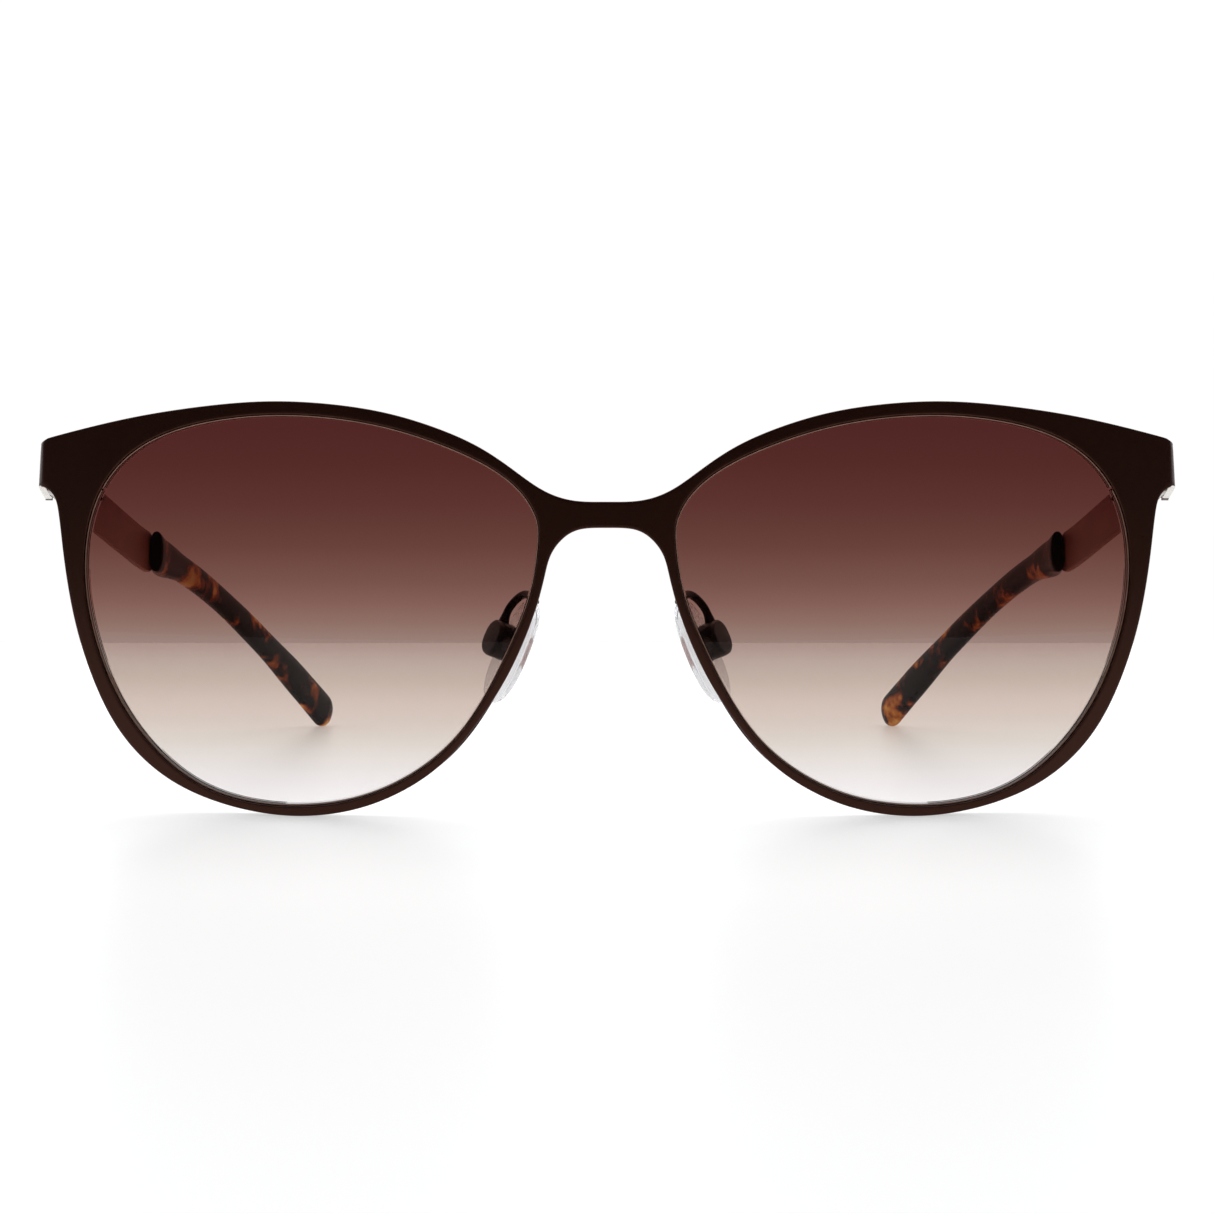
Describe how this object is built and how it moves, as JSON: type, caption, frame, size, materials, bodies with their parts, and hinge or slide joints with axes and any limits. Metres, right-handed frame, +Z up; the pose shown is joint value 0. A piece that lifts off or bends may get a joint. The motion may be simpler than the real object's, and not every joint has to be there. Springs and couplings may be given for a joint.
{
  "type": "cat eye sunglasses",
  "caption": "Cat eye sunglasses with a thin metal front, gradient tinted lenses, rocking nose pads and folding metal temples with acetate tips.",
  "frame": {"origin": "middle of the bounding box's base, on the surface the glasses rest on when open", "axes": "+Z up, -Y the way the lenses look, +Y back along the open temples, +X to the right seen from in front"},
  "size_m": [0.1414, 0.1443, 0.0506],
  "materials": {
    "front_lacquer": "satin lacquer, very dark brown",
    "eyewire_lacquer": "satin lacquer, brown, worn bright along the lip",
    "temple_lacquer": "satin lacquer, reddish brown",
    "wire_lacquer": "gloss lacquer, dark brown",
    "lens_tint": "polished nylon, brown gradient, dark at the top",
    "tortoise_acetate": "polished cellulose acetate, tortoiseshell",
    "pad_silicone": "clear silicone, satin",
    "pad_core": "clear polycarbonate",
    "hinge_steel": "fine brushed",
    "screw_steel": "polished"
  },
  "bodies": {
    "front": {"front_plate": "front_lacquer", "eyewire_left": "eyewire_lacquer", "eyewire_right": "eyewire_lacquer", "closing_screw_left": "screw_steel", "closing_screw_right": "screw_steel", "lens_left": "lens_tint", "lens_right": "lens_tint", "pad_arm_left": "wire_lacquer", "pad_arm_right": "wire_lacquer", "pad_box_left": "wire_lacquer", "pad_box_right": "wire_lacquer", "pad_screw_left": "screw_steel", "pad_screw_right": "screw_steel", "front_hinge_left": "hinge_steel", "front_hinge_right": "hinge_steel", "hinge_screw_left": "screw_steel", "hinge_screw_right": "screw_steel"},
    "temple_left": {"temple_hinge_left": "hinge_steel", "temple_bar_left": "temple_lacquer", "temple_tip_left": "tortoise_acetate"},
    "temple_right": {"temple_hinge_right": "hinge_steel", "temple_bar_right": "temple_lacquer", "temple_tip_right": "tortoise_acetate"},
    "pad_left": {"nose_pad_left": "pad_silicone", "pad_insert_left": "pad_core"},
    "pad_right": {"nose_pad_right": "pad_silicone", "pad_insert_right": "pad_core"}
  },
  "joints": [
    {"name": "temple_left_fold", "type": "hinge", "parent": "front", "child": "temple_left", "pos_m": [-0.0681, -0.05685, 0.04135], "axis": [0, -0.1564, -0.9877], "range_deg": [0, 81.5]},
    {"name": "temple_right_fold", "type": "hinge", "parent": "front", "child": "temple_right", "pos_m": [0.0681, -0.05685, 0.04135], "axis": [0, 0.1564, 0.9877], "range_deg": [0, 73]},
    {"name": "pad_left_rock", "type": "hinge", "parent": "front", "child": "pad_left", "pos_m": [-0.01326, -0.06397, 0.02137], "axis": [-0.417, 0.891, 0.1796], "range_deg": [-8, 8]},
    {"name": "pad_right_rock", "type": "hinge", "parent": "front", "child": "pad_right", "pos_m": [0.01326, -0.06397, 0.02137], "axis": [0.417, 0.891, 0.1796], "range_deg": [-8, 8]}
  ]
}
